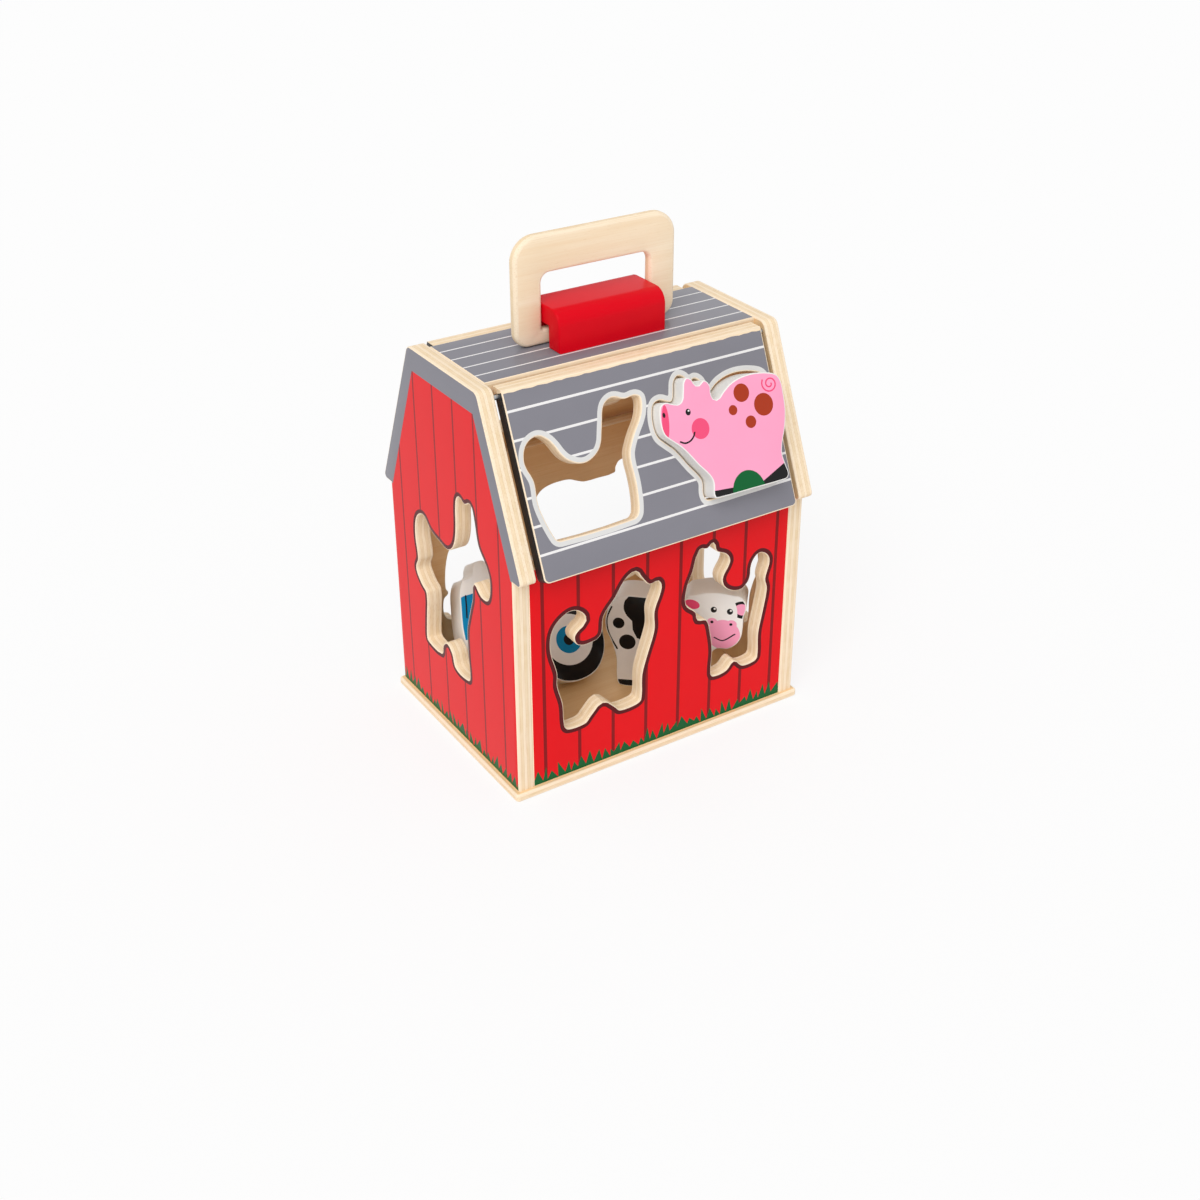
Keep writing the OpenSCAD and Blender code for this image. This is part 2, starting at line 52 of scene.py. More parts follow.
nodeBody = {n: body for body, names in frame["record"]["behaviour"]["bodies"].items() for n in names}
print("frame loaded,", len(frame["nodes"]), "nodes")


cameraView = {"place": (-0.4273, -0.6700, 0.5296), "target": (0.005714, -0.003741, 0.097807),
              "lens": 49.40, "shiftX": -0.0072, "shiftY": -0.05}
studio = {"ambient": 0.62, "sunStrength": 1.6, "sunSpread": 0.7, "sunFrom": (-0.6, -0.56, 0.85),
          "floorSize": 6.0, "floorColour": "#f6f6f6", "floorGlow": 0.8}


def linearColour(hexText):
    # sRGB hex to linear light, by the sRGB curve
    c = np.array([int(hexText[i:i + 2], 16) for i in (1, 3, 5)]) / 255
    c = np.where(c <= 0.04045, c / 12.92, ((c + 0.055) / 1.055) ** 2.4)
    return (*c.tolist(), 1.0)


def addNode(tree, kind, inputs=None, **settings):
    # One shader node: its settings, then each input linked from a socket or set to a value
    node = tree.nodes.new("ShaderNode" + kind)
    for name, value in settings.items():
        setattr(node, name, value)
    for name, value in (inputs or {}).items():
        if isinstance(value, bpy.types.NodeSocket):
            tree.links.new(value, node.inputs[name])
        else:
            node.inputs[name].default_value = value
    return node


def emptyTree(owner):
    owner.use_nodes = True
    owner.node_tree.nodes.clear()
    return owner.node_tree


def backdropRays(tree):
    # 1 for rays of the camera, of gloss and of clear things, else 0
    path = addNode(tree, "LightPath").outputs
    some = addNode(tree, "Math", {0: path["Is Camera Ray"], 1: path["Is Glossy Ray"]}, operation="ADD")
    return addNode(tree, "Math", {0: some.outputs[0], 1: path["Is Transmission Ray"]},
                   operation="ADD", use_clamp=True).outputs[0]


def makeCamera():
    data = bpy.data.cameras.new("camera")
    data.sensor_width, data.lens = 36.0, cameraView["lens"]
    data.shift_x, data.shift_y = cameraView["shiftX"], cameraView["shiftY"]
    camera = bpy.data.objects.new("camera", data)
    camera.location = cameraView["place"]
    look = Vector(cameraView["target"]) - Vector(cameraView["place"])
    camera.rotation_euler = look.to_track_quat("-Z", "Y").to_euler()
    bpy.context.collection.objects.link(camera)
    bpy.context.scene.camera = camera


def makeStudio():
    world = bpy.data.worlds.new("studio")
    tree = emptyTree(world)
    level = addNode(tree, "Mix", {0: backdropRays(tree), 2: studio["ambient"], 3: 1.0}, data_type="FLOAT")
    sky = addNode(tree, "Background", {"Color": (1, 1, 1, 1), "Strength": level.outputs[0]})
    addNode(tree, "OutputWorld", {"Surface": sky.outputs[0]})
    bpy.context.scene.world = world

    lamp = bpy.data.lights.new("softKey", "SUN")
    lamp.energy, lamp.angle = studio["sunStrength"], studio["sunSpread"]
    sun = bpy.data.objects.new("softKey", lamp)
    sun.rotation_euler = Vector(studio["sunFrom"]).to_track_quat("Z", "Y").to_euler()
    bpy.context.collection.objects.link(sun)

    paper = bpy.data.materials.new("mattWhitePaper")    # plain backdrop paper, no gloss
    tree = emptyTree(paper)
    matt = addNode(tree, "BsdfDiffuse", {"Color": linearColour(studio["floorColour"])})
    glow = addNode(tree, "Emission", {"Color": (1, 1, 1, 1), "Strength": 1.0})
    share = addNode(tree, "Math", {0: backdropRays(tree), 1: studio["floorGlow"]}, operation="MULTIPLY")
    both = addNode(tree, "MixShader", {0: share.outputs[0], 1: matt.outputs[0], 2: glow.outputs[0]})
    addNode(tree, "OutputMaterial", {"Surface": both.outputs[0]})
    half = studio["floorSize"] / 2
    mesh = bpy.data.meshes.new("floor")
    mesh.from_pydata([(-half, -half, -1e-4), (half, -half, -1e-4), (half, half, -1e-4), (-half, half, -1e-4)],
                     [], [(0, 1, 2, 3)])
    mesh.materials.append(paper)
    floor = bpy.data.objects.new("floor", mesh)
    bpy.context.collection.objects.link(floor)


makeCamera()
makeStudio()
bpy.context.scene.view_settings.view_transform = "Standard"
print("camera and studio made")


def startFinish(name, sockets):
    # A principled shader with its constant sockets, and the point in metres that patterns read
    material = bpy.data.materials.new(name)
    tree = emptyTree(material)
    shader = addNode(tree, "BsdfPrincipled", sockets)
    addNode(tree, "OutputMaterial", {"Surface": shader.outputs[0]})
    spot = addNode(tree, "TexCoord").outputs["Object"]
    return material, tree, shader, spot


def speckle(tree, spot, size, detail=2.0, stretch=(1, 1, 1)):
    # Noise whose cells are size mm across, longer by stretch along each axis
    scale = [1 / (size * mm * s) for s in stretch]
    placed = addNode(tree, "Mapping", {"Vector": spot, "Scale": scale})
    noise = addNode(tree, "TexNoise", {"Vector": placed.outputs[0], "Scale": 1.0, "Detail": detail})
    return noise.outputs["Fac"]


def layOver(tree, under, over, mask, low, high, most):
    # Colour over laid on colour under: none of it where the mask is at low, most of it where it is at high
    share = addNode(tree, "MapRange", {"Value": mask, "From Min": low, "From Max": high,
                                       "To Min": 0, "To Max": most})
    return addNode(tree, "Mix", {0: share.outputs[0], 6: under, 7: over}, data_type="RGBA").outputs[2]


def endFinish(tree, shader, colour, relief, depth):
    # The colour, and a bump of depth mm
    bump = addNode(tree, "Bump", {"Height": relief, "Distance": depth * mm, "Strength": 1.0})
    tree.links.new(bump.outputs[0], shader.inputs["Normal"])
    tree.links.new(colour, shader.inputs["Base Color"])


woodSizes = {"grainWidth": 0.9, "grainLength": 38.0, "bandWidth": 6.0, "bandLength": 90.0,
             "poreWidth": 0.35, "poreLength": 5.0, "streakWidth": 0.45, "streakLength": 22.0,
             "dust": 0.5, "cloud": 7.0, "relief": 0.02}
woodColours = {"light": "#fce9cd", "dark": "#f3d6af", "pore": "#d9b183", "glue": "#d9b98c",
               "endGrain": "#f1d9b3"}
shadedInnerAndBeechColours = dict(woodColours, light="#f3d0a0", dark="#e6ba82", pore="#c69560")    # darker, warmer wood: painted shade for the faces inside the barn; the beech dowels use it as their own colour


def birchFace(name, grain, colours=woodColours):
    # Sanded birch plywood under clear satin lacquer: cream with fine long grain.
    # Grain 0, 1 or 2 runs along X, Y or Z.
    material, tree, shader, spot = startFinish(name, {"Roughness": 0.5, "IOR": 1.5, "Specular IOR Level": 0.35})

    def figure(kind, detail):
        width, length = woodSizes[kind + "Width"], woodSizes[kind + "Length"]
        return speckle(tree, spot, width, detail, [length / width if i == grain else 1 for i in range(3)])
    fine = figure("grain", 3.0)
    tone = {k: linearColour(v) for k, v in colours.items()}
    colour = layOver(tree, tone["light"], tone["dark"], figure("band", 2.0), 0.35, 0.7, 0.6)
    colour = layOver(tree, colour, tone["dark"], fine, 0.45, 0.75, 0.5)
    colour = layOver(tree, colour, tone["pore"], figure("pore", 1.0), 0.66, 0.78, 0.35)
    endFinish(tree, shader, colour, fine, woodSizes["relief"])
    return material


def birchEdge(name, layers, grain):
    # Sawn and sanded plywood edge: veneers of turn-about grain between thin glue lines, with fine streaks
    # along them. plyDepth runs from 0 to 1 through the panel.
    material, tree, shader, spot = startFinish(name, {"Roughness": 0.6, "IOR": 1.5, "Specular IOR Level": 0.3})
    depth = addNode(tree, "Attribute", attribute_name="plyDepth").outputs["Fac"]
    ramp = addNode(tree, "ValToRGB", {"Fac": depth})
    stops = ramp.color_ramp.elements
    tone = {k: linearColour(v) for k, v in woodColours.items()}
    glueHalf = 0.014
    plan = []
    for i in range(layers):
        veneer = tone["endGrain" if i % 2 else "light"]
        plan += [(i / layers + glueHalf, veneer), ((i + 1) / layers - glueHalf, veneer)]
        if i + 1 < layers:
            plan.append(((i + 1) / layers, tone["glue"]))
    for i, (place, veneer) in enumerate(sorted(plan, key=lambda p: p[0])):
        stop = stops[i] if i < 2 else stops.new(place)
        stop.position, stop.color = place, veneer
    stretch = woodSizes["streakLength"] / woodSizes["streakWidth"]
    along = [stretch if i == grain else 1 for i in range(3)]
    streak = speckle(tree, spot, woodSizes["streakWidth"], 3.0, along)
    cloud = speckle(tree, spot, woodSizes["cloud"])
    colour = layOver(tree, ramp.outputs[0], tone["light"], cloud, 0.35, 0.7, 0.55)
    colour = layOver(tree, colour, tone["pore"], streak, 0.5, 0.8, 0.55)
    colour = layOver(tree, colour, tone["pore"], speckle(tree, spot, woodSizes["dust"]), 0.6, 0.8, 0.3)
    endFinish(tree, shader, colour, streak, woodSizes["relief"])
    return material


printSizes = {"cloud": 18.0, "peel": 0.9, "peelDepth": 0.008}


def printedPaint(name, colour):
    # Screen-printed gloss enamel on sanded plywood: even colour, a faint cloudiness, fine orange peel
    material, tree, shader, spot = startFinish(name, {"Roughness": 0.3, "IOR": 1.5,
                                                      "Specular IOR Level": 0.06,
                                                      "Coat Weight": 0.2, "Coat Roughness": 0.08})
    base = linearColour(colour)
    deeper = tuple(c * 0.72 for c in base[:3]) + (1.0,)
    cloudy = layOver(tree, base, deeper, speckle(tree, spot, printSizes["cloud"], 3.0), 0.3, 0.7, 0.1)
    endFinish(tree, shader, cloudy, speckle(tree, spot, printSizes["peel"]), printSizes["peelDepth"])
    return material


brushSizes = {"cloud": 12.0, "grainWidth": 0.7, "grainLength": 21.0, "relief": 0.015}


def brushedPaint(name, colour, gloss=0.25, coat=0.0):
    # Satin paint brushed over sanded wood: the grain tells slightly under it
    material, tree, shader, spot = startFinish(name, {"Roughness": 0.4, "IOR": 1.48,
                                                      "Specular IOR Level": gloss,
                                                      "Coat Weight": coat, "Coat Roughness": 0.12})
    base = linearColour(colour)
    deeper = tuple(c * 0.8 for c in base[:3]) + (1.0,)
    cloudy = layOver(tree, base, deeper, speckle(tree, spot, brushSizes["cloud"]), 0.35, 0.7, 0.18)
    stretch = brushSizes["grainLength"] / brushSizes["grainWidth"]
    grain = speckle(tree, spot, brushSizes["grainWidth"], 3.0, (stretch, 1, 1))
    endFinish(tree, shader, cloudy, grain, brushSizes["relief"])
    return material


steelSizes = {"line": 0.2, "lineStretch": 20, "relief": 0.004}


def zincPlatedSteel(name):
    # Zinc-plated steel: grey metal, fine drawn lines, soft reflections
    material, tree, shader, spot = startFinish(name, {"Metallic": 1.0})
    stretch = steelSizes["lineStretch"]
    lines = speckle(tree, spot, steelSizes["line"], 2.0, (1, stretch, stretch))
    colour = layOver(tree, linearColour("#c4c6c8"), linearColour("#a3a6aa"), lines, 0.3, 0.7, 1)
    rough = addNode(tree, "MapRange", {"Value": lines, "From Min": 0.3, "From Max": 0.7,
                                       "To Min": 0.28, "To Max": 0.42})
    tree.links.new(rough.outputs[0], shader.inputs["Roughness"])
    endFinish(tree, shader, colour, lines, steelSizes["relief"])
    return material


printTones = {"redPrint": "#e60210", "greyPrint": "#85848c", "maroonPrint": "#5a0e14",
              "plankPrint": "#8a0c12", "paleGreyPrint": "#dedddb", "stripePrint": "#eeeceb",
              "greenPrint": "#0a6030", "whitePrint": "#f3f1ee", "pinkPrint": "#f9a3c4",
              "rosePrint": "#f0527c", "brownPrint": "#a8381c", "blackPrint": "#1d1c1d",
              "bluePrint": "#1188bd"}
finishes = {name: printedPaint(name, tone) for name, tone in printTones.items()}
finishes.update({
    "birchFaceX": birchFace("birchFaceX", 0),
    # The inner birch finishes: wood darkened and warmed as painted shade for the faces inside the barn
    "birchShadedInnerX": birchFace("birchShadedInnerX", 0, shadedInnerAndBeechColours),
    "birchShadedInnerZ": birchFace("birchShadedInnerZ", 2, shadedInnerAndBeechColours),
    "birchEdgeZ": birchEdge("birchEdgeZ", 5, 2),
    "birchEdgeX": birchEdge("birchEdgeX", 5, 0),
    "birchEdgeThin": birchEdge("birchEdgeThin", 3, 0),
    # Dark charcoal for the flaps' side and bottom edges: painted shade of the narrow gap beside the end walls
    "charcoalGapShade": brushedPaint("charcoalGapShade", "#333335"),
    "whitePaint": brushedPaint("whitePaint", "#f0eeea"),
    "redGlossPaint": brushedPaint("redGlossPaint", "#dc0018", 0.08, 0.06),
    "beechDowel": birchFace("beechDowel", 0, shadedInnerAndBeechColours),
    "zincSteel": zincPlatedSteel("zincSteel"),
})
print(len(finishes), "finishes made")


def closedEdges(count):
    # Each point joined to the next, and the last to the first
    i = np.arange(count)
    return np.c_[i, (i + 1) % count]


def insideLoops(points, loops):
    # Even-odd rule: a ray to the right crosses the outlines an odd number of times
    a = np.vstack(loops)
    b = np.vstack([np.roll(loop, -1, 0) for loop in loops])
    x, y = points[:, 0, None], points[:, 1, None]
    spans = (a[:, 1] > y) != (b[:, 1] > y)
    rise = np.where(b[:, 1] == a[:, 1], 1e-12, b[:, 1] - a[:, 1])
    hit = a[:, 0] + (y - a[:, 1]) / rise * (b[:, 0] - a[:, 0])
    return (spans & (x < hit)).sum(1) % 2 == 1


def nearestOnLoop(points, loop):
    # For each point: the distance to the outline, the side it lies on and how far along that side, 0 to 1
    a, d = loop, np.roll(loop, -1, 0) - loop
    rel = points[:, None, :] - a[None]
    t = np.clip((rel * d).sum(2) / (d * d).sum(1), 0, 1)
    gap = np.linalg.norm(rel - t[..., None] * d, axis=2)
    side = gap.argmin(1)
    row = np.arange(len(points))
    return gap[row, side], side, t[row, side]


def mitres(loop):
    # At each point the move into the material for an offset of 1: the two sides' normals
    # added, over one plus their product, at most 2 long
    d = np.roll(loop, -1, 0) - loop
    n = np.c_[-d[:, 1], d[:, 0]] / np.linalg.norm(d, axis=1)[:, None]
    m = np.roll(n, 1, 0) + n
    m = m / np.maximum(1 + (np.roll(n, 1, 0) * n).sum(1), 0.05)[:, None]
    size = np.linalg.norm(m, axis=1)[:, None]
    return m * np.minimum(1, 2 / size)


def arrisMitres(loop, radius):
    # Mitres for an arris. Where the outline bends tighter than the arris, they shrink by a fifth
    # at a time until no side turns round.
    move, side = mitres(loop), np.roll(loop, -1, 0) - loop
    for _ in range(24):
        moved = loop + move * radius
        turned = ((np.roll(moved, -1, 0) - moved) * side).sum(1) < 0.2 * (side * side).sum(1)
        move[turned | np.roll(turned, 1)] *= 0.8
    return move


def smoothLoop(loop, steps=3, sharp=38.0, longest=9.0):
    # Cubic between each two points, its ends along the line through their neighbours.
    # Sides that end in a corner, or are long, stay straight.
    after = np.roll(loop, -1, 0)
    side = after - loop
    length = np.linalg.norm(side, axis=1)
    heading = np.arctan2(side[:, 1], side[:, 0])
    turn = np.abs((heading - np.roll(heading, 1) + math.pi) % (2 * math.pi) - math.pi)
    tangent = after - np.roll(loop, 1, 0)
    tangent /= np.linalg.norm(tangent, axis=1)[:, None]
    bent = (turn < math.radians(sharp)) & (np.roll(turn, -1) < math.radians(sharp)) & (length < longest)
    t = (np.arange(steps) / steps)[None, :, None]
    s = 1 - t
    a, b, u = loop[:, None], after[:, None], (tangent * length[:, None])[:, None]
    v = (np.roll(tangent, -1, 0) * length[:, None])[:, None]
    curve = a * s * s * (1 + 2 * t) + b * t * t * (1 + 2 * s) + u * t * s * s - v * t * t * s
    keep = np.broadcast_to(bent[:, None], curve.shape[:2]).copy()
    keep[:, 0] = True
    return curve[keep]


def contourLines(field, xs, ys, level):
    # Marching squares: points where the field passes the level along a grid line, joined within each cell
    f = field - level
    hitX = f[:, :-1] * f[:, 1:] < 0
    hitY = f[:-1] * f[1:] < 0
    idX, idY = np.full(hitX.shape, -1), np.full(hitY.shape, -1)
    idX[hitX] = np.arange(hitX.sum())
    idY[hitY] = hitX.sum() + np.arange(hitY.sum())
    r, c = np.nonzero(hitX)
    share = f[r, c] / (f[r, c] - f[r, c + 1])
    points = [np.c_[xs[c] + share * (xs[c + 1] - xs[c]), ys[r]]]
    r, c = np.nonzero(hitY)
    share = f[r, c] / (f[r, c] - f[r + 1, c])
    points.append(np.c_[xs[c], ys[r] + share * (ys[r + 1] - ys[r])])
    cell = np.stack([idX[:-1], idY[:, :-1], idX[1:], idY[:, 1:]], 2).reshape(-1, 4)
    count = (cell >= 0).sum(1)
    pairs = -np.sort(-cell[count == 2], axis=1)[:, :2]
    fours = cell[count == 4]
    return np.vstack(points), np.vstack([pairs, fours[:, :2], fours[:, 2:]])


# A mark of a print is a finish, the lines that bound it, and a test for what lies in it
def shapeMark(finish, points):
    # What lies in the closed outline through the points
    points = np.asarray(points, float)
    return {"finish": finish, "points": points, "edges": closedEdges(len(points)),
            "holds": lambda q: insideLoops(q, [points])}


def ovalMark(finish, centre, radii, turn=0.0, steps=44):
    # Ellipse: centre plus radii times cosine and sine, then turned
    a = np.linspace(0, 2 * math.pi, steps, endpoint=False)
    x, y = radii[0] * np.cos(a), radii[1] * np.sin(a)
    c, s = math.cos(math.radians(turn)), math.sin(math.radians(turn))
    return shapeMark(finish, np.c_[centre[0] + x * c - y * s, centre[1] + x * s + y * c])


def barMark(finish, x0, x1, y0, y1):
    # Rectangle between two places across and two up
    return shapeMark(finish, [(x0, y0), (x1, y0), (x1, y1), (x0, y1)])


def strokeMark(finish, points, width, steps=8):
    # Pen line: a cubic through the points, offset by half its width to each side, with round ends
    p = np.asarray(points, float)
    tangent = np.gradient(p, axis=0)
    t = (np.arange(steps) / steps)[None, :, None]
    s = 1 - t
    a, b, u, v = p[:-1, None], p[1:, None], tangent[:-1, None], tangent[1:, None]
    curve = (a * s * s * (1 + 2 * t) + b * t * t * (1 + 2 * s) + u * t * s * s - v * t * t * s).reshape(-1, 2)
    curve = np.vstack([curve, p[-1:]])
    d = np.gradient(curve, axis=0)
    heading = np.arctan2(d[:, 1], d[:, 0])
    n = np.c_[-np.sin(heading), np.cos(heading)] * width / 2
    cap = np.linspace(-90, 90, 7)[1:-1]
    tip = lambda i, flip: curve[i] + width / 2 * np.c_[np.cos(heading[i] + np.radians(cap + flip)),
                                                      np.sin(heading[i] + np.radians(cap + flip))]
    return shapeMark(finish, np.vstack([curve - n, tip(-1, 0), (curve + n)[::-1], tip(0, 180)]))


def ringMark(finish, loop, width, grid=0.7):
    # Border of even width round an opening: the contour of the distance to its outline
    low, high = loop.min(0) - width - 2 * grid, loop.max(0) + width + 2 * grid
    xs, ys = np.arange(low[0], high[0], grid), np.arange(low[1], high[1], grid)
    gx, gy = np.meshgrid(xs, ys)
    q = np.c_[gx.ravel(), gy.ravel()]
    gap = nearestOnLoop(q, loop)[0] * np.where(insideLoops(q, [loop]), -1, 1)
    points, edges = contourLines(gap.reshape(gx.shape), xs, ys, width)

    def holds(q):
        near = ((q > low) & (q < high)).all(1)
        found = np.zeros(len(q), bool)
        if near.any():
            found[near] = nearestOnLoop(q[near], loop)[0] < width
        return found
    return {"finish": finish, "points": points, "edges": edges, "holds": holds}


def grassMark(finish, seed, low, high, ground, sizes):
    # Zigzag between short and tall blades at an uneven pitch, closed below the ground
    rng = np.random.default_rng(seed)
    count = int((high - low) / sizes["pitch"]) * 2 + 1
    x = np.linspace(low, high, count)
    x[1:-1] += rng.uniform(-0.3, 0.3, count - 2) * sizes["pitch"]
    tall = ground + rng.uniform(sizes["shortBlade"], sizes["tallBlade"], count)
    dip = ground + rng.uniform(sizes["shallow"], sizes["deep"], count)
    y = np.where(np.arange(count) % 2 == 0, dip, tall)
    return shapeMark(finish, np.vstack([np.c_[x, y], [(high, ground - 9), (low, ground - 9)]]))


def cadFace(node, rough, across, reference=(0, 0, 0), cornered=False):
    # The flat side of a CAD node that faces rough: its axes, and its outlines with the material on their left
    mesh = frame["nodes"][node].data
    mesh.calc_loop_triangles()
    co = np.empty(len(mesh.vertices) * 3, np.float32)
    mesh.vertices.foreach_get("co", co)
    tri = np.empty(len(mesh.loop_triangles) * 3, np.int32)
    mesh.loop_triangles.foreach_get("vertices", tri)
    co, tri = co.reshape(-1, 3).astype(float), tri.reshape(-1, 3)
    _, first, same = np.unique(np.round(co / 2e-6), axis=0, return_index=True, return_inverse=True)
    co, tri = co[first], same.reshape(-1)[tri]
    cross = np.cross(co[tri[:, 1]] - co[tri[:, 0]], co[tri[:, 2]] - co[tri[:, 0]])
    area = np.linalg.norm(cross, axis=1)
    tri, cross, area = tri[area > 1e-12], cross[area > 1e-12], area[area > 1e-12]
    unit = cross / area[:, None]
    facing = unit @ (np.array(rough, float) / np.linalg.norm(rough)) > 0.97
    n = unit[facing][area[facing].argmax()]
    depth = co[tri[:, 0]] @ n
    flat = (unit @ n > 0.9999) & (depth > depth[unit @ n > 0.9999].max() - 2e-5)
    tri = tri[flat]
    u = np.array(across, float) - n * np.dot(across, n)
    u /= np.linalg.norm(u)
    v = np.cross(n, u)
    edges = np.vstack([tri[:, [0, 1]], tri[:, [1, 2]], tri[:, [2, 0]]])
    rel = (co - np.array(reference, float)) / mm
    flatPoints = np.c_[rel @ u, rel @ v]
    loops = [tidyLoop(flatPoints[loop]) for loop in rimLoops(edges)]
    origin = np.array(reference, float) + n * (co[tri[0, 0]] - np.array(reference, float)).dot(n)
    if cornered:
        corner = np.vstack(loops).min(0)
        loops = [loop - corner for loop in loops]
        origin = origin + (u * corner[0] + v * corner[1]) * mm
    loops.sort(key=lambda loop: -signedArea(loop))
    return {"origin": origin, "u": u, "v": v, "n": n, "loops": loops}


def rimLoops(edges):
    # Edges whose reverse isn't there bound the face. Each is followed by the one that starts at its end.
    size = edges.max() + 1
    key, back = edges[:, 0] * size + edges[:, 1], edges[:, 1] * size + edges[:, 0]
    after = dict(edges[~np.isin(key, back)].tolist())
    loops = []
    while after:
        start, point = next(iter(after.items()))
        loop = [start]
        del after[start]
        while point != start:
            loop.append(point)
            point = after.pop(point)
        loops.append(np.array(loop))
    return loops


def signedArea(loop):
    # Half the sum of the cross products of neighbours: positive when the loop runs anticlockwise
    after = np.roll(loop, -1, 0)
    return (loop[:, 0] * after[:, 1] - loop[:, 1] * after[:, 0]).sum() / 2


def tidyLoop(loop):
    # Drops points that lie on the straight line between their neighbours
    a, b = loop - np.roll(loop, 1, 0), np.roll(loop, -1, 0) - loop
    lengths = np.linalg.norm(a, axis=1) * np.linalg.norm(b, axis=1)
    bend = np.abs(a[:, 0] * b[:, 1] - a[:, 1] * b[:, 0]) / lengths
    return loop[bend > 1e-3]


def arrisProfile(thickness, radius, steps=3):
    # Across the edge of a panel, as (distance in from the edge, depth): a quarter circle, a straight
    # and a quarter circle
    a = np.linspace(0, math.pi / 2, steps + 1)
    front = np.c_[radius * (1 - np.sin(a)), radius * (1 - np.cos(a))]
    return np.vstack([front, np.c_[front[::-1, 0], thickness - front[::-1, 1]]])


def fillFace(rims, marks):
    # Constrained Delaunay triangles of the face, split along every line of the marks
    points, edges, count = [], [], 0
    outlines = [(rim, closedEdges(len(rim))) for rim in rims]
    outlines += [(mark["points"], mark["edges"]) for mark in marks]
    for shape, links in outlines:
        points.append(shape)
        edges.append(links + count)
        count += len(shape)
    corners = [Vector(p) for p in np.vstack(points).tolist()]
    made = delaunay_2d_cdt(corners, np.vstack(edges).tolist(), [], 0, 1e-4)
    flat = np.array([tuple(p) for p in made[0]])
    tri = np.array([f for f in made[2] if len(f) == 3])
    a, b, c = flat[tri[:, 0]], flat[tri[:, 1]], flat[tri[:, 2]]
    area = (b - a)[:, 0] * (c - a)[:, 1] - (b - a)[:, 1] * (c - a)[:, 0]
    tri = np.where(area[:, None] < 0, tri[:, ::-1], tri)
    middle = (a + b + c) / 3
    keep = insideLoops(middle, rims) & (np.abs(area) > 1e-7)
    return flat, tri[keep], middle[keep]


